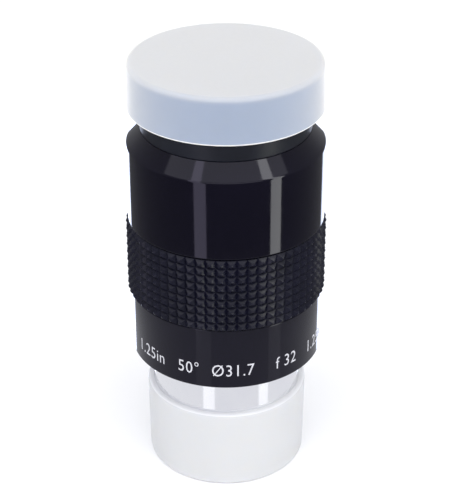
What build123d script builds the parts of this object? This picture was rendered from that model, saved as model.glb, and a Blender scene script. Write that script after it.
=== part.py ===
from build123d import *
from math import sqrt
import os

# A 32 mm Ploessl telescope eyepiece with its two dust caps on, standing on the
# barrel cap. Millimetres. The origin is on the floor under the optical axis,
# and +Z runs up the axis, from the telescope towards the eye.

# Driving dimensions: the outside, from the floor up
barrel_radius = 31.75 / 2       # the 1.25 inch standard
filter_thread_radius = 28.0 / 2  # crests of the M28.5 x 0.6 filter thread
barrel_cap_height = 18.2
shoulder_height = 27.3          # where the focuser stops
marking_ring_height = 13.8
marking_ring_radius = 20.2
grip_height = 16.7
upper_body_height = 16.9
upper_body_radius = 20.4
cone_height = 3.2
neck_radius = 17.5              # top of the cone and foot of the eyecup
eyecup_height = 12.8
eye_cap_height = 9.9
eye_cap_top_radius = 19.8
eye_cap_rim_radius = 20.05
overall_height = 92.3

# Driving dimensions: the optics
lens_radius = 13.5
lens_curve = 27.6               # every curved lens face
crown_edge = 1.2
flint_centre = 1.8
air_gap = 0.5                   # between the two crowns
cement = 0.02
back_focus = 25.3               # from the field lens to the field stop

# Clearances
seat_gap = 0.02                 # rubber on metal, held by its own stretch
slip = 0.05                     # turned parts that slide or screw together
cap_slip = 0.18                 # soft caps over what they cover
edge_break = 0.3                # small chamfer on turned edges

os.makedirs("parts", exist_ok=True)


def sag(radius):
    """How far a lens face falls away from its vertex at this radius."""
    return lens_curve - sqrt(lens_curve**2 - radius**2)


# Levels along the axis
grip_base = shoulder_height + marking_ring_height
grip_top = grip_base + grip_height
cone_base = grip_top + upper_body_height
cone_top = cone_base + cone_height
eyecup_top = cone_top + eyecup_height
eye_cap_rim = overall_height - eye_cap_height


# Frosted barrel cap: a drafted soft cup pushed over the barrel
cap_floor = 1.4
barrel_cap_base_radius = 16.95
barrel_cap_rim_radius = 17.25
barrel_cap_bore = barrel_radius + cap_slip
barrel_cap_rim_round = 0.8
cap_corner_round = 1.0

with BuildPart() as barrel_cap:
    with BuildSketch(Plane.XZ):
        with BuildLine():
            Polyline(
                (0, 0),
                (barrel_cap_base_radius, 0),
                (barrel_cap_rim_radius, barrel_cap_height),
                (barrel_cap_bore, barrel_cap_height),
                (barrel_cap_bore, cap_floor),
                (0, cap_floor),
                close=True,
            )
        make_face()
    revolve(axis=Axis.Z)
    circles = barrel_cap.edges().filter_by(GeomType.CIRCLE)
    fillet(circles.group_by(Axis.Z)[0], radius=cap_corner_round)
    fillet(circles.group_by(Axis.Z)[-1].sort_by(SortBy.RADIUS)[-1], radius=barrel_cap_rim_round)
barrel_cap.part.label = "barrel_cap"
export_step(barrel_cap.part, "parts/barrel_cap.step")


# Chromed barrel: filter thread at its mouth, a safety undercut round its
# middle, a screwed neck in the housing and a ledge for the field stop
barrel_mouth = cap_floor
relief_radius = 16.6            # recess in the shoulder round the barrel
relief_depth = 0.4
undercut_radius = 15.3
undercut_base = 9.0
undercut_top = 18.05
mouth_chamfer = 0.5
filter_thread_length = 5.0
light_trap_radius = 14.4
barrel_neck_radius = 15.2
barrel_neck_top = 33.2
stop_ledge_radius = 13.9
stop_ledge_height = 1.0
stop_pocket_radius = 14.5
stop_pocket_base = 31.2
undercut_depth = barrel_radius - undercut_radius
relief_top = shoulder_height + relief_depth

with BuildPart() as barrel:
    with BuildSketch(Plane.XZ):
        with BuildLine():
            Polyline(
                (filter_thread_radius, barrel_mouth),
                (barrel_radius - mouth_chamfer, barrel_mouth),
                (barrel_radius, barrel_mouth + mouth_chamfer),
                (barrel_radius, undercut_base),
                (undercut_radius, undercut_base + undercut_depth),
                (undercut_radius, undercut_top - undercut_depth),
                (barrel_radius, undercut_top),
                (barrel_radius, relief_top),
                (barrel_neck_radius, relief_top),
                (barrel_neck_radius, barrel_neck_top),
                (stop_pocket_radius, barrel_neck_top),
                (stop_pocket_radius, stop_pocket_base),
                (stop_ledge_radius, stop_pocket_base),
                (stop_ledge_radius, stop_pocket_base - stop_ledge_height),
                (light_trap_radius, stop_pocket_base - stop_ledge_height),
                (light_trap_radius, barrel_mouth + filter_thread_length),
                (filter_thread_radius, barrel_mouth + filter_thread_length),
                close=True,
            )
        make_face()
    revolve(axis=Axis.Z)
barrel.part.label = "barrel"
export_step(barrel.part, "parts/barrel.step")


# Field stop: a bevelled black ring in the barrel's pocket, whose upper inner
# edge bounds the view
field_stop_radius = 13.5
field_stop_height = 1.0
stop_edge = 0.2
field_stop_top = stop_pocket_base + field_stop_height

with BuildPart() as field_stop:
    with BuildSketch(Plane.XZ):
        with BuildLine():
            Polyline(
                (stop_pocket_radius - slip, stop_pocket_base),
                (stop_pocket_radius - slip, field_stop_top),
                (field_stop_radius, field_stop_top),
                (field_stop_radius, field_stop_top - stop_edge),
                (stop_ledge_radius, stop_pocket_base),
                close=True,
            )
        make_face()
    revolve(axis=Axis.Z)
field_stop.part.label = "field_stop"
export_step(field_stop.part, "parts/field_stop.step")


# Lens levels, from the field stop up to the eye lens
field_lens_face = field_stop_top + back_focus
crown_centre = crown_edge + 2 * sag(lens_radius)
field_cement = field_lens_face + flint_centre
field_crown_base = field_cement + cement
field_crown_top = field_crown_base + crown_centre
eye_crown_base = field_crown_top + air_gap
eye_crown_top = eye_crown_base + crown_centre
eye_cement = eye_crown_top + cement
eye_lens_face = eye_cement + flint_centre
half_radius = lens_radius / 2


# Crowns: the two biconvex elements, their outer faces cemented to the flints
with BuildPart() as field_lens_crown:
    with BuildSketch(Plane.XZ):
        with BuildLine():
            Line((0, field_crown_top), (0, field_crown_base))
            ThreePointArc(
                (0, field_crown_base),
                (half_radius, field_crown_base + sag(half_radius)),
                (lens_radius, field_crown_base + sag(lens_radius)),
            )
            Line(
                (lens_radius, field_crown_base + sag(lens_radius)),
                (lens_radius, field_crown_top - sag(lens_radius)),
            )
            ThreePointArc(
                (lens_radius, field_crown_top - sag(lens_radius)),
                (half_radius, field_crown_top - sag(half_radius)),
                (0, field_crown_top),
            )
        make_face()
    revolve(axis=Axis.Z)
field_lens_crown.part.label = "field_lens_crown"
export_step(field_lens_crown.part, "parts/field_lens_crown.step")

with BuildPart() as eye_lens_crown:
    with Locations((0, 0, eye_crown_base - field_crown_base)):
        add(field_lens_crown.part)
eye_lens_crown.part.label = "eye_lens_crown"
export_step(eye_lens_crown.part, "parts/eye_lens_crown.step")


# Flints: plano-concave, flat face outwards
with BuildPart() as field_lens_flint:
    with BuildSketch(Plane.XZ):
        with BuildLine():
            Polyline(
                (0, field_cement),
                (0, field_lens_face),
                (lens_radius, field_lens_face),
                (lens_radius, field_cement + sag(lens_radius)),
            )
            ThreePointArc(
                (lens_radius, field_cement + sag(lens_radius)),
                (half_radius, field_cement + sag(half_radius)),
                (0, field_cement),
            )
        make_face()
    revolve(axis=Axis.Z)
field_lens_flint.part.label = "field_lens_flint"
export_step(field_lens_flint.part, "parts/field_lens_flint.step")

with BuildPart() as eye_lens_flint:
    with BuildSketch(Plane.XZ):
        with BuildLine():
            Polyline(
                (0, eye_cement),
                (0, eye_lens_face),
                (lens_radius, eye_lens_face),
                (lens_radius, eye_cement - sag(lens_radius)),
            )
            ThreePointArc(
                (lens_radius, eye_cement - sag(lens_radius)),
                (half_radius, eye_cement - sag(half_radius)),
                (0, eye_cement),
            )
        make_face()
    revolve(axis=Axis.Z)
eye_lens_flint.part.label = "eye_lens_flint"
export_step(eye_lens_flint.part, "parts/eye_lens_flint.step")


# Spacer: a thin tube whose inner edges bear on the two crowns
spacer_wall = 0.6
spacer_bore = lens_radius - spacer_wall
spacer_base = field_crown_top - sag(spacer_bore)
spacer_top = eye_crown_base + sag(spacer_bore)

with BuildPart() as lens_spacer:
    with BuildSketch(Plane.XY.offset(spacer_base)):
        Circle(lens_radius)
        Circle(spacer_bore, mode=Mode.SUBTRACT)
    extrude(amount=spacer_top - spacer_base)
lens_spacer.part.label = "lens_spacer"
export_step(lens_spacer.part, "parts/lens_spacer.step")


# Lens cell: the tube that carries both doublets, with a bevelled lip over the
# eye lens and a wider screwed mouth for the retaining ring
cell_radius = 15.0
cell_bore = lens_radius + slip
cell_lip_height = 1.2
cell_lip_radius = 12.7
cell_lip_edge = 0.2
cell_mouth_radius = 13.8
cell_base = 50.0
cell_top = eye_lens_face + cell_lip_height
cell_bevel = cell_lip_height - cell_lip_edge

with BuildPart() as lens_cell:
    with BuildSketch(Plane.XZ):
        with BuildLine():
            Polyline(
                (cell_mouth_radius, cell_base),
                (cell_radius, cell_base),
                (cell_radius, cell_top),
                (cell_lip_radius + cell_bevel, cell_top),
                (cell_lip_radius, cell_top - cell_bevel),
                (cell_lip_radius, eye_lens_face),
                (cell_bore, eye_lens_face),
                (cell_bore, field_lens_face),
                (cell_mouth_radius, field_lens_face),
                close=True,
            )
        make_face()
    revolve(axis=Axis.Z)
lens_cell.part.label = "lens_cell"
export_step(lens_cell.part, "parts/lens_cell.step")


# Retaining ring: screwed up against the field lens, with two spanner slots
ring_radius = cell_mouth_radius - slip
ring_bore = 12.6
ring_height = 2.4
ring_bevel = 0.6
ring_base = field_lens_face - ring_height
slot_width = 1.2
slot_depth = 1.0

with BuildPart() as lens_retaining_ring:
    with BuildSketch(Plane.XZ):
        with BuildLine():
            Polyline(
                (ring_bore + ring_bevel, ring_base),
                (ring_radius, ring_base),
                (ring_radius, field_lens_face),
                (ring_bore, field_lens_face),
                (ring_bore, ring_base + ring_bevel),
                close=True,
            )
        make_face()
    revolve(axis=Axis.Z)
    with BuildSketch(Plane.XY.offset(ring_base)):
        Rectangle(2 * cell_radius, slot_width)
    extrude(amount=slot_depth, mode=Mode.SUBTRACT)
lens_retaining_ring.part.label = "lens_retaining_ring"
export_step(lens_retaining_ring.part, "parts/lens_retaining_ring.step")


# Housing: marking ring, grip recess, upper cylinder, cone and the neck that
# the eyecup snaps over, bored through for the barrel and the lens cell
barrel_screw_bore = barrel_neck_radius + slip
housing_bore = cell_radius + slip
grip_recess_radius = 19.0
neck_core_radius = 16.1
neck_bead_radius = 16.5
neck_bead_base = 79.3
neck_bead_height = 0.7
neck_top = cell_top + 1.2
neck_lip_radius = 13.9
neck_bead_slope = neck_bead_radius - neck_core_radius
bead_top = neck_bead_base + neck_bead_height

with BuildPart() as housing:
    with BuildSketch(Plane.XZ):
        with BuildLine():
            Polyline(
                (relief_radius, shoulder_height),
                (marking_ring_radius - edge_break, shoulder_height),
                (marking_ring_radius, shoulder_height + edge_break),
                (marking_ring_radius, grip_base - edge_break),
                (marking_ring_radius - edge_break, grip_base),
                (grip_recess_radius, grip_base),
                (grip_recess_radius, grip_top),
                (upper_body_radius - edge_break, grip_top),
                (upper_body_radius, grip_top + edge_break),
                (upper_body_radius, cone_base),
                (neck_radius, cone_top),
                (neck_core_radius, cone_top),
                (neck_core_radius, neck_bead_base - neck_bead_slope),
                (neck_bead_radius, neck_bead_base),
                (neck_bead_radius, bead_top),
                (neck_core_radius, bead_top + neck_bead_slope),
                (neck_core_radius, neck_top),
                (neck_lip_radius, neck_top),
                (neck_lip_radius, cell_top),
                (housing_bore, cell_top),
                (housing_bore, barrel_neck_top),
                (barrel_screw_bore, barrel_neck_top),
                (barrel_screw_bore, relief_top),
                (relief_radius, relief_top),
                close=True,
            )
        make_face()
    revolve(axis=Axis.Z)
housing.part.label = "housing"
export_step(housing.part, "parts/housing.step")


# Eyecup: soft rubber, its foot gripping the neck's bead, its lip flared
# inside the eye cap
eyecup_wall = 1.3
eyecup_lip_radius = 18.4
eyecup_flare_base = 84.0
eyecup_flare_top = 87.0
eyecup_foot_break = 0.2
eyecup_ledge_radius = 14.8
eyecup_ledge_height = 0.9
eyecup_throat_radius = 15.9
foot_bore = neck_core_radius + seat_gap
foot_groove = neck_bead_radius + seat_gap
lip_bore = eyecup_lip_radius - eyecup_wall
lip_centre = eyecup_top - eyecup_wall / 2
ledge_top = neck_top + eyecup_ledge_height

with BuildPart() as eyecup:
    with BuildSketch(Plane.XZ):
        with BuildLine():
            Polyline(
                (lip_bore, lip_centre),
                (lip_bore, eyecup_flare_top),
                (eyecup_throat_radius, eyecup_flare_base),
                (eyecup_ledge_radius, ledge_top),
                (eyecup_ledge_radius, neck_top),
                (foot_bore, neck_top),
                (foot_bore, bead_top + neck_bead_slope),
                (foot_groove, bead_top),
                (foot_groove, neck_bead_base),
                (foot_bore, neck_bead_base - neck_bead_slope),
                (foot_bore, cone_top),
                (neck_radius - eyecup_foot_break, cone_top),
                (neck_radius, cone_top + eyecup_foot_break),
                (neck_radius, eyecup_flare_base),
                (eyecup_lip_radius, eyecup_flare_top),
                (eyecup_lip_radius, lip_centre),
            )
            ThreePointArc(
                (eyecup_lip_radius, lip_centre),
                (eyecup_lip_radius - eyecup_wall / 2, eyecup_top),
                (lip_bore, lip_centre),
            )
        make_face()
    revolve(axis=Axis.Z)
eyecup.part.label = "eyecup"
export_step(eyecup.part, "parts/eyecup.step")


# Frosted eye cap: a soft cup pushed over the eyecup's lip
eye_cap_bore = eyecup_lip_radius + cap_slip
eye_cap_roof = 1.2
eye_cap_corner = 0.9
eye_cap_rim_round = 0.3

with BuildPart() as eye_cap:
    with BuildSketch(Plane.XZ):
        with BuildLine():
            Polyline(
                (0, overall_height),
                (eye_cap_top_radius, overall_height),
                (eye_cap_rim_radius, eye_cap_rim),
                (eye_cap_bore, eye_cap_rim),
                (eye_cap_bore, overall_height - eye_cap_roof),
                (0, overall_height - eye_cap_roof),
                close=True,
            )
        make_face()
    revolve(axis=Axis.Z)
    circles = eye_cap.edges().filter_by(GeomType.CIRCLE)
    fillet(circles.group_by(Axis.Z)[-1], radius=eye_cap_corner)
    fillet(circles.group_by(Axis.Z)[0], radius=eye_cap_rim_round)
eye_cap.part.label = "eye_cap"
export_step(eye_cap.part, "parts/eye_cap.step")


# Rubber grip: rows of square pyramids, as a star-shaped bar crossed with a
# grooved ring
grip_rows = 9
grip_columns = 60
grip_peak_radius = 20.97
grip_groove_radius = 20.1
grip_bore = grip_recess_radius + seat_gap
row_pitch = grip_height / grip_rows
column_angle = 360 / grip_columns

star_points = []
for column in range(grip_columns):
    angle = column * column_angle
    star_points.append(Vector(grip_peak_radius, 0).rotate(Axis.Z, angle))
    star_points.append(Vector(grip_groove_radius, 0).rotate(Axis.Z, angle + column_angle / 2))

groove_points = [(grip_bore, grip_base)]
for row in range(grip_rows):
    groove_points.append((grip_groove_radius, grip_base + row * row_pitch))
    groove_points.append((grip_peak_radius, grip_base + (row + 0.5) * row_pitch))
groove_points.append((grip_groove_radius, grip_top))
groove_points.append((grip_bore, grip_top))

with BuildPart() as grip_ring:
    with BuildSketch(Plane.XY.offset(grip_base)):
        with BuildLine():
            Polyline(*star_points, close=True)
        make_face()
    extrude(amount=grip_height)
    with BuildSketch(Plane.XZ):
        with BuildLine():
            Polyline(*groove_points, close=True)
        make_face()
    revolve(axis=Axis.Z, mode=Mode.INTERSECT)
grip_ring.part.label = "grip_ring"
export_step(grip_ring.part, "parts/grip_ring.step")

print(f"eye lens at {eye_lens_face:.2f}, field lens at {field_lens_face:.2f}")
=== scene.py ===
import math

import bpy
import bmesh
from mathutils import Matrix, Vector

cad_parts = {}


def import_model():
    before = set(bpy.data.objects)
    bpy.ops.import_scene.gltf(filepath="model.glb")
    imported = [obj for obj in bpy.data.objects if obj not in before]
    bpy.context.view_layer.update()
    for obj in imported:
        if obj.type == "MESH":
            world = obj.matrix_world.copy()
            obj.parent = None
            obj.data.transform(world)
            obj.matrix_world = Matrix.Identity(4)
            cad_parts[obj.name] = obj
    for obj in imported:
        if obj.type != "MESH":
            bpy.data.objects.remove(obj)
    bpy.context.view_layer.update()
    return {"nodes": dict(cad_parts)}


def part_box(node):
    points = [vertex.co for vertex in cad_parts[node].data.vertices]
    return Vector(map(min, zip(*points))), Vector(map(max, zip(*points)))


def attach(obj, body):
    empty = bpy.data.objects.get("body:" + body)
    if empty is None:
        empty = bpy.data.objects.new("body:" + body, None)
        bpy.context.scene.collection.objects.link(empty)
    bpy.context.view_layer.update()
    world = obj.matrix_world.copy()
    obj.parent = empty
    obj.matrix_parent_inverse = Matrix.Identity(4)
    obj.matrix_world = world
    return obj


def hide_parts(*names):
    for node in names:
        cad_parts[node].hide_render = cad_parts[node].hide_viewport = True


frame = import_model()

MM = 0.001

# ---------------------------------------------------------------- places from the frame
cap_low, cap_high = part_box("barrel_cap")
barrel_low, barrel_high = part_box("barrel")
housing_low, housing_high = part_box("housing")
grip_low, grip_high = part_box("grip_ring")
eyecup_low, eyecup_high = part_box("eyecup")
eye_cap_low, eye_cap_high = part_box("eye_cap")

barrel_radius = barrel_high.x
shoulder = housing_low.z
body_radius = housing_high.x
neck_top = housing_high.z
cone_top = eyecup_low.z
grip_base = grip_low.z
grip_top = grip_high.z

# Sizes the boxes don't give, as in the CAD
marking_radius = 20.2 * MM
neck_radius = 17.5 * MM
cone_base = cone_top - 3.2 * MM
edge = 0.25 * MM                # rounding on turned edges
hair = 1e-6                     # heights and radii nearer than this, in metres, are the same

# ---------------------------------------------------------------- camera
CAMERA_ASIDE = -0.00025
CAMERA_DISTANCE = 0.30025
CAMERA_HEIGHT = 0.2162
CAMERA_PITCH = math.radians(29.2)
CAMERA_ROLL = math.radians(-0.15)
LENS = 116.5

camera = bpy.data.objects.new("camera", bpy.data.cameras.new("camera"))
camera.location = (CAMERA_ASIDE, -CAMERA_DISTANCE, CAMERA_HEIGHT)
camera.rotation_euler = (math.pi / 2 - CAMERA_PITCH, 0, 0)
camera.rotation_euler.rotate_axis("Z", CAMERA_ROLL)
camera.data.lens = LENS
camera.data.clip_start = 0.01
bpy.context.scene.collection.objects.link(camera)
bpy.context.scene.camera = camera
bpy.context.scene.view_settings.view_transform = "Standard"


# ---------------------------------------------------------------- material helpers
class Surface:
    """A material's node tree, with its Principled shader at hand."""

    def __init__(self, name, color, roughness, **sockets):
        self.material = bpy.data.materials.new(name)
        self.material.use_nodes = True
        self.nodes = self.material.node_tree.nodes
        self.links = self.material.node_tree.links
        self.shader = self.nodes["Principled BSDF"]
        self.shader.inputs["Base Color"].default_value = (*color, 1)
        self.shader.inputs["Roughness"].default_value = roughness
        for socket, value in sockets.items():
            self.shader.inputs[socket.replace("_", " ")].default_value = value
        self.place = self.nodes.new("ShaderNodeTexCoord").outputs["Object"]

    def node(self, kind, **inputs):
        made = self.nodes.new(kind)
        for socket, value in inputs.items():
            target = made.inputs[socket.replace("_", " ")]
            if hasattr(value, "is_linked"):
                self.links.new(value, target)
            else:
                target.default_value = value
        return made

    def noise(self, scale, detail=3.0, roughness=0.5, stretch=None):
        """Noise by object place; stretch squeezes it along each axis."""
        place = self.place
        if stretch:
            mapping = self.node("ShaderNodeMapping", Vector=place)
            mapping.inputs["Scale"].default_value = stretch
            place = mapping.outputs["Vector"]
        made = self.node(
            "ShaderNodeTexNoise", Vector=place, Scale=scale, Detail=detail, Roughness=roughness
        )
        return made.outputs["Fac"]

    def spread(self, value, low, high):
        """Maps 0.3..0.7, where most noise lies, to low..high."""
        made = self.node("ShaderNodeMapRange", Value=value)
        made.inputs["From Min"].default_value = 0.3
        made.inputs["From Max"].default_value = 0.7
        made.inputs["To Min"].default_value = low
        made.inputs["To Max"].default_value = high
        return made.outputs["Result"]

    def rise(self, low, high):
        """Goes from 0 at the height low to 1 at the height high."""
        height = self.node("ShaderNodeSeparateXYZ", Vector=self.place).outputs["Z"]
        made = self.node("ShaderNodeMapRange", Value=height)
        made.interpolation_type = "SMOOTHSTEP"
        made.inputs["From Min"].default_value = low
        made.inputs["From Max"].default_value = high
        return made.outputs["Result"]

    def mix(self, factor, first, second):
        made = self.nodes.new("ShaderNodeMix")
        made.data_type = "RGBA"
        self.links.new(factor, made.inputs["Factor"])
        for socket, value in (("A", first), ("B", second)):
            target = next(i for i in made.inputs if i.name == socket and i.type == "RGBA")
            if hasattr(value, "is_linked"):
                self.links.new(value, target)
            else:
                target.default_value = (*value, 1)
        return next(o for o in made.outputs if o.type == "RGBA")

    def set(self, socket, value):
        self.links.new(value, self.shader.inputs[socket])

    def bump(self, height, strength, distance):
        made = self.node("ShaderNodeBump", Height=height, Strength=strength, Distance=distance)
        self.set("Normal", made.outputs["Normal"])


def frosted_plastic(name, tint, painted_zones, sheen=0.0):
    """Soft moulded plastic with a fine frost and faint flow marks. Each painted band is a start
    height, the height where its colour is full, and the colour: a painted highlight where an
    edge would gather light, or a painted shade where something dark behind the wall would show."""
    surface = Surface(
        name, tint, 0.4,
        Transmission_Weight=0.1, IOR=1.45, Specular_IOR_Level=0.15,
        Subsurface_Weight=0.8, Subsurface_Scale=2.5 * MM, Subsurface_Radius=(0.9, 1.0, 1.2),
        Sheen_Weight=sheen, Sheen_Roughness=0.55, Sheen_Tint=(1.0, 0.96, 0.87, 1),
    )
    surface.set("Roughness", surface.spread(surface.noise(900, 4), 0.38, 0.52))
    flow = surface.spread(surface.noise(60, 2, stretch=(1, 1, 0.3)), 0, 1)
    color = surface.mix(flow, tuple(0.975 * c for c in tint), tint)
    # Painted highlights and painted shade, laid over the colour by height
    for start, full, painted_colour in painted_zones:
        color = surface.mix(surface.rise(start, full), color, painted_colour)
    surface.set("Base Color", color)
    surface.bump(surface.noise(3500, 2), 0.1, 0.04 * MM)
    return surface.material


def painted_glow_rim():
    """The barrel cap's thin rim, opaque because the milky plastic renders dark beside the
    chrome, and coloured paler than the cap as a painted glow where the rim lies in shade."""
    # Paler than the cap: a painted glow
    surface = Surface("frosted_plastic_painted_glow_rim", (0.845, 0.855, 0.88), 0.45, Specular_IOR_Level=0.15)
    flow = surface.spread(surface.noise(60, 2), 0, 1)
    surface.set("Base Color", surface.mix(flow, (0.835, 0.845, 0.87), (0.855, 0.865, 0.89)))
    surface.set("Roughness", surface.spread(surface.noise(900, 4), 0.38, 0.52))
    return surface.material


def black_anodised():
    """Polished black anodising over fine turning marks, slightly violet in its shine."""
    surface = Surface(
        "black_anodised", (0.002, 0.002, 0.007), 0.07, IOR=1.45, Specular_IOR_Level=0.31,
        Specular_Tint=(0.87, 0.86, 1.0, 1),
    )
    turning = surface.noise(18000, 2, stretch=(0.001, 0.001, 1))
    surface.set("Roughness", surface.spread(surface.noise(350, 4), 0.05, 0.09))
    cloud = surface.spread(surface.noise(45, 3), 0, 1)
    surface.set(
        "Base Color", surface.mix(cloud, (0.0021, 0.0017, 0.005), (0.0032, 0.0027, 0.0072))
    )
    surface.bump(turning, 0.02, 0.004 * MM)
    return surface.material


def matt_black():
    """Blackened inner metal with the grain of turning marks."""
    surface = Surface("matt_black", (0.012, 0.012, 0.013), 0.65, Specular_IOR_Level=0.3)
    turning = surface.noise(6000, 3, stretch=(0.002, 0.002, 1))
    surface.set("Roughness", surface.spread(turning, 0.5, 0.8))
    dust = surface.spread(surface.noise(1500, 4), 0, 1)
    surface.set("Base Color", surface.mix(dust, (0.009, 0.009, 0.01), (0.018, 0.018, 0.019)))
    surface.bump(turning, 0.2, 0.02 * MM)
    return surface.material


def chrome():
    """Bright plating over fine circumferential turning marks."""
    surface = Surface("chrome", (0.88, 0.88, 0.9), 0.09, Metallic=1.0)
    turning = surface.noise(12000, 3, stretch=(0.001, 0.001, 1))
    surface.set("Roughness", surface.spread(turning, 0.07, 0.12))
    haze = surface.spread(surface.noise(120, 3), 0, 1)
    surface.set("Base Color", surface.mix(haze, (0.85, 0.85, 0.88), (0.9, 0.9, 0.91)))
    surface.bump(turning, 0.03, 0.005 * MM)
    return surface.material


def rubber(name, color, roughness, gloss):
    """Moulded rubber: a fine matt grain, slightly greyer where it is dusty."""
    surface = Surface(name, color, roughness, Specular_IOR_Level=gloss)
    grain = surface.noise(2600, 4, 0.6)
    surface.set("Roughness", surface.spread(grain, roughness - 0.07, roughness + 0.08))
    pale = tuple(1.5 * c for c in color)
    surface.set("Base Color", surface.mix(surface.spread(surface.noise(160, 5), 0, 1), color, pale))
    surface.bump(grain, 0.15, 0.02 * MM)
    return surface.material


def coated_glass():
    """Optical glass with a thin green-violet coating."""
    surface = Surface(
        "coated_glass", (0.97, 0.99, 0.98), 0.0,
        Transmission_Weight=1.0, IOR=1.52, Thin_Film_Thickness=420.0, Thin_Film_IOR=1.38,
    )
    surface.set("Roughness", surface.spread(surface.noise(700, 3), 0.0, 0.015))
    return surface.material


def marking_paint():
    """White paint filled into the engraved marking."""
    surface = Surface("marking_paint", (0.6, 0.6, 0.64), 0.45)
    patch = surface.spread(surface.noise(2500, 4), 0, 1)
    surface.set("Base Color", surface.mix(patch, (0.54, 0.54, 0.58), (0.66, 0.66, 0.7)))
    surface.bump(surface.noise(5000, 2), 0.2, 0.01 * MM)
    return surface.material


def floor_paint():
    """Plain pale floor with a barely visible mottle."""
    surface = Surface("floor_paint", (0.93, 0.93, 0.93), 0.6)
    mottle = surface.spread(surface.noise(12, 3), 0, 1)
    surface.set("Base Color", surface.mix(mottle, (0.92, 0.92, 0.92), (0.95, 0.95, 0.95)))
    return surface.material


# ---------------------------------------------------------------- mesh helpers
ARC_STEPS = 5
LATHE_STEPS = 256
SHARP_ANGLE = math.radians(32)
HOLD = 0.06 * MM                # support rings this far from each rounded edge


def rounded(corners):
    """A closed outline of (radius, height) points from (radius, height, round) corners."""
    points = []
    count = len(corners)
    for i, (r, z, size) in enumerate(corners):
        here = Vector((r, z))
        before = Vector(corners[i - 1][:2]) - here
        after = Vector(corners[(i + 1) % count][:2]) - here
        if size <= 0:
            points.append((r, z))
            continue
        turn = math.pi - before.angle(after)
        cut = size * math.tan(turn / 2)
        start = here + before.normalized() * cut
        end = here + after.normalized() * cut
        centre = here + (before.normalized() + after.normalized()).normalized() * (
            size / math.cos(turn / 2)
        )
        a = start - centre
        sweep = a.angle_signed(end - centre)
        hold_in = start + before.normalized() * min(HOLD, (before.length - cut) / 3)
        hold_out = end + after.normalized() * min(HOLD, (after.length - cut) / 3)
        points.append(tuple(hold_in))
        for step in range(ARC_STEPS + 1):
            spoke = Matrix.Rotation(-sweep * step / ARC_STEPS, 2) @ a
            points.append(tuple(centre + spoke))
        points.append(tuple(hold_out))
    return points


def new_object(name, bm, materials):
    """Turns bm into an object with outward faces, smooth but for sharp creases."""
    mesh = bpy.data.meshes.new(name)
    bmesh.ops.recalc_face_normals(bm, faces=bm.faces)
    if bm.calc_volume(signed=True) < 0:
        bmesh.ops.reverse_faces(bm, faces=bm.faces)
    bm.to_mesh(mesh)
    bm.free()
    for material in materials:
        mesh.materials.append(material)
    for polygon in mesh.polygons:
        polygon.use_smooth = True
    mesh.set_sharp_from_angle(angle=SHARP_ANGLE)
    made = bpy.data.objects.new(name, mesh)
    bpy.context.scene.collection.objects.link(made)
    return made


def lathe(name, outline, materials, finish=None, shape=None):
    """Turns a closed outline round Z. finish(r, z) picks a face's material, and
    shape(r, z, turn) may move a point."""
    bm = bmesh.new()
    rings = []
    for r, z in outline:
        if r < 1e-7:
            rings.append([bm.verts.new((0, 0, z))])
            continue
        ring = []
        for step in range(LATHE_STEPS):
            turn = 2 * math.pi * step / LATHE_STEPS
            radius, height = shape(r, z, turn) if shape else (r, z)
            ring.append(bm.verts.new((radius * math.cos(turn), radius * math.sin(turn), height)))
        rings.append(ring)
    for i, ring in enumerate(rings):
        other = rings[(i + 1) % len(rings)]
        if len(ring) == 1 and len(other) == 1:
            continue
        r = (outline[i][0] + outline[(i + 1) % len(rings)][0]) / 2
        z = (outline[i][1] + outline[(i + 1) % len(rings)][1]) / 2
        index = finish(r, z) if finish else 0
        for step in range(LATHE_STEPS):
            following = (step + 1) % LATHE_STEPS
            corners = [
                ring[step % len(ring)], ring[following % len(ring)],
                other[following % len(other)], other[step % len(other)],
            ]
            face = bm.faces.new(list(dict.fromkeys(corners)))
            face.material_index = index
    return new_object(name, bm, materials)


# ---------------------------------------------------------------- caps
def barrel_cap_piece(material, painted_glow_rim_material):
    """Soft cup over the barrel, drafted outside, rounded at foot and rim."""
    bore = barrel_radius + 0.03 * MM
    foot_radius = cap_high.x - 0.3 * MM
    floor_top = barrel_low.z
    rim_base = cap_high.z - 0.3 * MM

    # The rim's top takes the rim material, whose paler colour is a painted glow
    def finish(r, z):
        return 1 if z > rim_base else 0

    outline = rounded([
        (0, cap_low.z, 0),
        (foot_radius, cap_low.z, 1.0 * MM),
        (cap_high.x, cap_high.z, 0.8 * MM),
        (bore, cap_high.z, 0),
        (bore, floor_top, 0),
        (0, floor_top, 0),
    ])
    return lathe("barrel_cap_shell", outline, [material, painted_glow_rim_material], finish)


def eye_cap_piece(material):
    """Soft cup over the eyecup, a little wider at its thin rim."""
    bore = eyecup_high.x + 0.18 * MM
    roof = eye_cap_high.z - 1.2 * MM
    top_radius = 19.8 * MM
    outline = rounded([
        (0, eye_cap_high.z, 0),
        (0, roof, 0),
        (bore, roof, 0.3 * MM),
        (bore, eye_cap_low.z, 0.2 * MM),
        (eye_cap_high.x, eye_cap_low.z, 0.3 * MM),
        (top_radius, eye_cap_high.z, 0.9 * MM),
    ])
    return lathe("eye_cap_shell", outline, [material])


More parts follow.
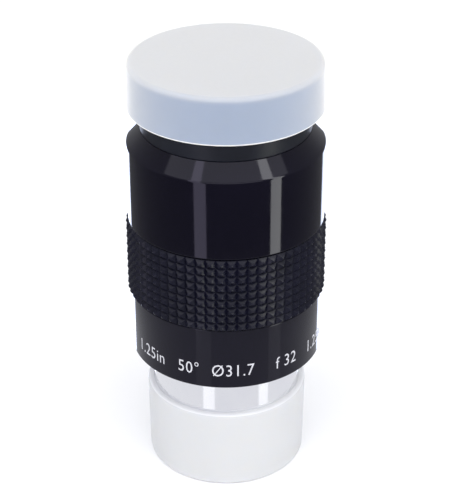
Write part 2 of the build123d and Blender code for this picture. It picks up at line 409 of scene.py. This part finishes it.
# ---------------------------------------------------------------- body
def housing_piece(outside, inside):
    """The turned body, glossy outside and blackened in its bore."""
    recess = 19.0 * MM
    relief = 16.6 * MM
    relief_top = shoulder + 0.4 * MM
    screw_bore = 15.25 * MM
    screw_top = 33.2 * MM
    bore = 15.05 * MM
    lip = 13.9 * MM
    lip_base = neck_top - 1.2 * MM
    core = 16.1 * MM
    bead = 16.5 * MM
    bead_base = 79.3 * MM
    bead_top = 80.0 * MM
    slope = bead - core
    outline = rounded([
        (relief, shoulder, 0.08 * MM),
        (marking_radius, shoulder, edge),
        (marking_radius, grip_base, 0.1 * MM),
        (recess, grip_base, 0.05 * MM),
        (recess, grip_top, 0.05 * MM),
        (body_radius, grip_top, 0.12 * MM),
        (body_radius, cone_base, 0.5 * MM),
        (neck_radius, cone_top, 0.1 * MM),
        (core, cone_top, 0.05 * MM),
        (core, bead_base - slope, 0),
        (bead, bead_base, 0),
        (bead, bead_top, 0),
        (core, bead_top + slope, 0),
        (core, neck_top, 0.1 * MM),
        (lip, neck_top, 0.15 * MM),
        (lip, lip_base, 0),
        (bore, lip_base, 0),
        (bore, screw_top, 0),
        (screw_bore, screw_top, 0),
        (screw_bore, relief_top, 0),
        (relief, relief_top, 0),
    ])

    def finish(r, z):
        return 1 if r < bore + 0.3 * MM and z < neck_top - 0.1 * MM else 0

    return lathe("housing_shell", outline, [outside, inside], finish)


def barrel_piece(outside, inside):
    """The plated barrel with its undercut, its blackened bore and a real
    helical filter thread in the mouth."""
    mouth = barrel_low.z
    top = barrel_high.z
    undercut = 15.3 * MM
    undercut_base, undercut_top = 9.0 * MM, 18.05 * MM
    slope = barrel_radius - undercut
    relief_top = shoulder + 0.4 * MM
    screw = 15.2 * MM
    pocket, pocket_base = 14.5 * MM, 31.2 * MM
    ledge, ledge_base = 13.9 * MM, 30.2 * MM
    trap = 14.4 * MM
    crest = 14.0 * MM
    thread_depth, thread_pitch, thread_length = 0.3 * MM, 0.6 * MM, 5.0 * MM
    thread_rows = 50
    run_out = 0.4 * MM
    outline = rounded([
        (crest, mouth, 0),
        (barrel_radius - 0.5 * MM, mouth, 0.08 * MM),
        (barrel_radius, mouth + 0.5 * MM, 0.1 * MM),
        (barrel_radius, undercut_base, 0.1 * MM),
        (undercut, undercut_base + slope, 0.1 * MM),
        (undercut, undercut_top - slope, 0.1 * MM),
        (barrel_radius, undercut_top, 0.1 * MM),
        (barrel_radius, relief_top, 0),
        (screw, relief_top, 0),
        (screw, top, 0.1 * MM),
        (pocket, top, 0.1 * MM),
        (pocket, pocket_base, 0),
        (ledge, pocket_base, 0),
        (ledge, ledge_base, 0),
        (trap, ledge_base, 0),
        (trap, mouth + thread_length, 0),
    ])
    for row in range(thread_rows):
        outline.append((crest, mouth + thread_length * (1 - row / thread_rows)))

    def shape(r, z, turn):
        along = z - mouth
        if abs(r - crest) > hair or along < hair or along > thread_length - hair:
            return r, z
        phase = (along / thread_pitch - turn / (2 * math.pi)) % 1
        groove = 1 - abs(2 * phase - 1)
        fade = min(1, along / run_out, (thread_length - along) / run_out)
        return r + thread_depth * groove * fade, z

    def finish(r, z):
        return 1 if r < trap + 0.2 * MM and mouth + hair < z else 0

    return lathe("barrel_tube", outline, [outside, inside], finish, shape)


def eyecup_piece(material):
    """The soft eyecup: straight foot, slight flare, rolled lip and thin wall."""
    lip = eyecup_high.x
    top = eyecup_high.z
    wall = 1.3 * MM
    flare_base, flare_top = 84.0 * MM, 87.0 * MM
    throat = 15.9 * MM
    ledge, ledge_top = 14.8 * MM, neck_top + 0.9 * MM
    foot = 16.12 * MM
    outline = rounded([
        (foot, cone_top, 0),
        (neck_radius, cone_top, 0.25 * MM),
        (neck_radius, flare_base, 4 * MM),
        (lip, flare_top, 4 * MM),
        (lip, top, 0.64 * MM),
        (lip - wall, top, 0.64 * MM),
        (lip - wall, flare_top, 4 * MM),
        (throat, flare_base, 4 * MM),
        (ledge, ledge_top, 0.3 * MM),
        (ledge, neck_top, 0.1 * MM),
        (foot, neck_top, 0),
    ])
    return lathe("eyecup_rubber", outline, [material])


# ---------------------------------------------------------------- grip
GRIP_ROWS = 9
GRIP_COLUMNS = 60
GRIP_CUTS = 8                   # mesh steps across one pyramid


def grip_piece(material):
    """Square pyramids with softened tips, under a narrow groove against the body. Each
    mesh square is split along the pyramid's own edges, so the edges stay clean."""
    groove = 20.1 * MM
    peak = grip_high.x - 0.02 * MM
    back = 19.02 * MM
    rows_top = grip_top - 0.35 * MM
    notch = 19.6 * MM
    soft = 0.14
    bulge = 0.14
    steps = GRIP_COLUMNS * GRIP_CUTS
    rows = GRIP_ROWS * GRIP_CUTS
    pitch = (rows_top - grip_base) / GRIP_ROWS

    def rise(u, v):
        """Height of a soft, slightly bulging pyramid, 0 at its edge and 1 at its tip."""
        x, y = math.hypot(u, soft), math.hypot(v, soft)
        flat = math.hypot(1, soft)
        slope = max(0.0, (flat - max(x, y)) / (flat - soft))
        return slope * (1 + bulge * max(abs(u), abs(v)))

    bm = bmesh.new()

    def ring(z, radius):
        made = []
        for step in range(steps):
            turn = 2 * math.pi * step / steps
            r = radius(2 * (step % GRIP_CUTS) / GRIP_CUTS - 1)
            made.append(bm.verts.new((r * math.cos(turn), r * math.sin(turn), z)))
        return made

    rings = []
    for row in range(rows + 1):
        cell = min(row // GRIP_CUTS, GRIP_ROWS - 1)
        v = 2 * (row / GRIP_CUTS - cell) - 1
        z = grip_base + row * pitch / GRIP_CUTS
        rings.append(ring(z, lambda u: groove + (peak - groove) * rise(u, v)))
    for r, z in ((notch, rows_top), (notch, grip_top), (back, grip_top), (back, grip_base)):
        rings.append(ring(z, lambda u: r))
    for row, low_ring in enumerate(rings):
        high_ring = rings[(row + 1) % len(rings)]
        for step in range(steps):
            following = (step + 1) % steps
            a, b = low_ring[step], low_ring[following]
            c, d = high_ring[following], high_ring[step]
            left = step % GRIP_CUTS < GRIP_CUTS // 2
            low = row % GRIP_CUTS < GRIP_CUTS // 2
            if row >= rows:
                bm.faces.new((a, b, c, d))
            elif left == low:
                bm.faces.new((a, b, c))
                bm.faces.new((a, c, d))
            else:
                bm.faces.new((a, b, d))
                bm.faces.new((b, c, d))
    return new_object("grip_rubber", bm, [material])


# ---------------------------------------------------------------- marking
# Generic figures, each with the angle of its middle, to the right of the front
MARKINGS = (("1.25in", -51), ("50°", -23), ("Ø31.7", 4), ("f 32", 38))
MARKING_REPEATS = 3
LETTER_HEIGHT = 2.9 * MM
LETTER_BASE = 30.2 * MM
LETTER_NARROW = 0.84
LETTER_PROUD = 0.03 * MM
LETTER_CUT = 0.4 * MM           # letters are cut into upright slices this wide, to bend
LETTER_WELD = 0.002 * MM        # points nearer than this become one
FONT_CAPITAL = 0.73             # height of the built-in font's figures at size 1


def letters(label):
    """A flat mesh of label, its baseline on y = 0 and its middle on x = 0."""
    curve = bpy.data.curves.new(label, "FONT")
    curve.body = label
    curve.size = LETTER_HEIGHT / FONT_CAPITAL
    curve.space_character = 1.08
    curve.resolution_u = 3
    curve.offset = -0.004 * LETTER_HEIGHT
    text = bpy.data.objects.new(label, curve)
    bpy.context.scene.collection.objects.link(text)
    seen = text.evaluated_get(bpy.context.evaluated_depsgraph_get())
    mesh = bpy.data.meshes.new_from_object(seen)
    bpy.data.objects.remove(text)
    bm = bmesh.new()
    bm.from_mesh(mesh)
    bpy.data.meshes.remove(mesh)
    low, high = min(v.co.x for v in bm.verts), max(v.co.x for v in bm.verts)
    bmesh.ops.translate(bm, verts=bm.verts, vec=(-(low + high) / 2, 0, 0))
    bmesh.ops.scale(bm, verts=bm.verts, vec=(LETTER_NARROW, 1, 1))
    half = LETTER_NARROW * (high - low) / 2
    for cut in range(1, int(2 * half / LETTER_CUT)):
        bmesh.ops.bisect_plane(
            bm, geom=bm.verts[:] + bm.edges[:] + bm.faces[:],
            plane_co=(cut * LETTER_CUT - half, 0, 0), plane_no=(1, 0, 0), dist=LETTER_WELD,
        )
    bmesh.ops.remove_doubles(bm, verts=bm.verts, dist=LETTER_WELD)
    bmesh.ops.dissolve_degenerate(bm, edges=bm.edges, dist=LETTER_WELD)
    return bm


def marking_piece(material):
    """The figures wrapped round the marking ring as a thin layer of paint."""
    whole = bmesh.new()
    for label, middle in MARKINGS:
        flat = letters(label)
        lifted = bmesh.ops.extrude_face_region(flat, geom=flat.faces[:])["geom"]
        raised = {v for v in lifted if isinstance(v, bmesh.types.BMVert)}
        for repeat in range(MARKING_REPEATS):
            made = {}
            for v in flat.verts:
                turn = v.co.x / marking_radius + math.radians(middle) \
                    + 2 * math.pi * repeat / MARKING_REPEATS
                r = marking_radius + (LETTER_PROUD if v in raised else -LETTER_PROUD)
                place = (r * math.sin(turn), -r * math.cos(turn), LETTER_BASE + v.co.y)
                made[v] = whole.verts.new(place)
            for face in flat.faces:
                whole.faces.new([made[v] for v in face.verts])
        flat.free()
    return new_object("marking", whole, [material])


# ---------------------------------------------------------------- build the object
# Painted shade of the eyecup behind the eye cap's wall, up to its lip, and a painted glow on the
# rim
frost = frosted_plastic("frosted_plastic", (0.487, 0.506, 0.54), (
    (eyecup_high.z + 1.4 * MM, eyecup_high.z, (0.32, 0.378, 0.487)),
    (eye_cap_low.z + 0.45 * MM, eye_cap_low.z + 0.25 * MM, (0.95, 0.96, 1.0)),
), sheen=1.0)
# The barrel cap has painted shade just under its rim, and a painted glow at the rim and the foot
frost_pale = frosted_plastic("frosted_plastic_pale", (0.71, 0.72, 0.74), (
    (cap_high.z - 0.75 * MM, cap_high.z - 0.2 * MM, (0.69, 0.7, 0.725)),
    (cap_high.z - 0.1 * MM, cap_high.z - 0.01 * MM, (0.96, 0.97, 1.0)),
    (cap_low.z + 0.9 * MM, cap_low.z + 0.15 * MM, (0.95, 0.95, 1.0)),
))
anodised = black_anodised()
blackened = matt_black()
plated = chrome()
cup_rubber = rubber("eyecup_rubber", (0.006, 0.007, 0.012), 0.4, 0.22)
knurl_rubber = rubber("grip_rubber", (0.004, 0.0041, 0.011), 0.27, 0.2)
glass = coated_glass()
paint = marking_paint()

pieces = (
    (barrel_cap_piece(frost_pale, painted_glow_rim()), "barrel_cap", "frosted_plastic", ["barrel_cap"]),
    (eye_cap_piece(frost), "eye_cap", "frosted_plastic", ["eye_cap"]),
    (housing_piece(anodised, blackened), "eyepiece", "black_anodised", ["housing"]),
    (barrel_piece(plated, blackened), "eyepiece", "chrome", ["barrel"]),
    (eyecup_piece(cup_rubber), "eyepiece", "eyecup_rubber", ["eyecup"]),
    (grip_piece(knurl_rubber), "eyepiece", "grip_rubber", ["grip_ring"]),
    (marking_piece(paint), "eyepiece", "black_anodised", []),
)
for piece, body, slot, stands_for in pieces:
    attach(piece, body)
    if stands_for:
        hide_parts(*stands_for)

kept = {
    "eye_lens_flint": glass, "eye_lens_crown": glass,
    "field_lens_flint": glass, "field_lens_crown": glass,
    "lens_cell": blackened, "lens_spacer": blackened,
    "lens_retaining_ring": blackened, "field_stop": blackened,
}
for node, material in kept.items():
    for place in frame["nodes"][node].material_slots:
        place.material = material


# ---------------------------------------------------------------- studio
AMBIENT = 0.84                  # the world's strength as light
# Its strength in reflections, by the height of the direction looked in (-1 down, 1 up):
GLOSS_BELOW = 0.87              # below the step
GLOSS_STEP = (-0.53, -0.49)
GLOSS_ABOVE = 0.22              # just above the step
GLOSS_RISE = (-0.42, 0.1)
GLOSS_LEVEL = 0.5               # at the top of the rise and higher

STRIP_DISTANCE = 0.9
LAVENDER = (0.84, 0.79, 0.96)
WARM = (0.98, 1.0, 0.9)
COOL = (0.72, 0.79, 1.0)


def floor():
    """A wide pale floor just under the object."""
    half = 4.0
    mesh = bpy.data.meshes.new("floor")
    drop = -0.05 * MM
    mesh.from_pydata(
        [(-half, -half, drop), (half, -half, drop), (half, half, drop), (-half, half, drop)],
        [], [(0, 1, 2, 3)],
    )
    mesh.materials.append(floor_paint())
    made = bpy.data.objects.new("floor", mesh)
    bpy.context.scene.collection.objects.link(made)
    made.visible_glossy = False


def softbox(name, low, high, width, radiance, color=(1, 1, 1), reflected=True, lights=True):
    """A flat light from the middle of its lower side to the middle of its upper side,
    facing the object. It can be for reflections only, or for light only."""
    low, high = Vector(low), Vector(high)
    middle, up = (low + high) / 2, (high - low).normalized()
    away = middle - Vector((0, 0, middle.z if abs(up.z) > 0.7 else 0))
    away = (away - away.project(up)).normalized()
    data = bpy.data.lights.new(name, "AREA")
    data.shape = "RECTANGLE"
    data.size, data.size_y = width, (high - low).length
    data.energy = radiance * math.pi * data.size * data.size_y
    data.color = color
    made = bpy.data.objects.new(name, data)
    made.matrix_world = Matrix.Translation(middle) @ Matrix(
        (up.cross(away), up, away)
    ).transposed().to_4x4()
    made.visible_camera = False
    made.visible_glossy = reflected
    made.visible_diffuse = lights
    made.visible_transmission = lights
    bpy.context.scene.collection.objects.link(made)


def around(azimuth, distance, height):
    """A place at azimuth degrees to the right of the front."""
    turn = math.radians(azimuth)
    return distance * math.sin(turn), -distance * math.cos(turn), height


def strip(name, azimuth, width, low, high, radiance, color=(1, 1, 1), lean=0):
    """An upright strip that only shows as a reflection. Its top leans by lean degrees."""
    softbox(
        name, around(azimuth, STRIP_DISTANCE, low),
        around(azimuth + lean, STRIP_DISTANCE, high), width, radiance, color, lights=False,
    )


def world():
    """White to the camera, softer as light, and in reflections pale low down, dim above
    that and brighter again from the horizon up."""
    made = bpy.data.worlds.new("studio")
    made.use_nodes = True
    nodes, links = made.node_tree.nodes, made.node_tree.links
    background = nodes["Background"]
    background.inputs["Color"].default_value = (0.94, 0.95, 1.0, 1)
    path = nodes.new("ShaderNodeLightPath")
    place = nodes.new("ShaderNodeTexCoord")
    parts = nodes.new("ShaderNodeSeparateXYZ")
    links.new(place.outputs["Generated"], parts.inputs["Vector"])

    def ramp(value, low, high, at_low, at_high):
        """Goes from at_low to at_high while value goes from low to high."""
        made = nodes.new("ShaderNodeMapRange")
        links.new(value, made.inputs["Value"])
        for socket, number in (
            ("From Min", low), ("From Max", high), ("To Min", at_low), ("To Max", at_high)
        ):
            if hasattr(number, "is_linked"):
                links.new(number, made.inputs[socket])
            else:
                made.inputs[socket].default_value = number
        return made.outputs["Result"]

    above = ramp(parts.outputs["Z"], *GLOSS_RISE, GLOSS_ABOVE, GLOSS_LEVEL)
    mirrored = ramp(parts.outputs["Z"], *GLOSS_STEP, GLOSS_BELOW, above)
    unseen = ramp(path.outputs["Is Glossy Ray"], 0, 1, AMBIENT, mirrored)
    strength = ramp(path.outputs["Is Camera Ray"], 0, 1, unseen, 1.0)
    links.new(strength, background.inputs["Strength"])
    bpy.context.scene.world = made


floor()
world()
# Each strip: azimuth, width, low end, high end, radiance. They reach below the floor, which
# reflections don't see, to stand for what a glossy table would show
strip("right_strip", 58.5, 0.21, -0.48, 1.6, 5.8, WARM)
strip("left_strip", -29, 0.22, -0.48, 1.6, 2.4, LAVENDER, lean=-17)
strip("right_strip_low", 60, 0.26, -1.4, -0.49, 0.28)
strip("left_strip_low", -27.5, 0.29, -1.4, -0.49, 0.28)
strip("backdrop_left", -165, 0.6, -0.58, -0.15, 4.8, COOL)
strip("backdrop_right", 165, 0.6, -0.58, -0.15, 3.7, COOL)
softbox("overhead", (0, -1.0, 1.35), (0, -0.05, 1.35), 3.0, 1.2)
softbox("top_light", (0, -0.6, 1.2), (0, 0.4, 1.2), 1.4, 0.8, reflected=False)
softbox("front", around(5, 1.2, 0.15), around(5, 1.0, 0.9), 1.6, 1.3)
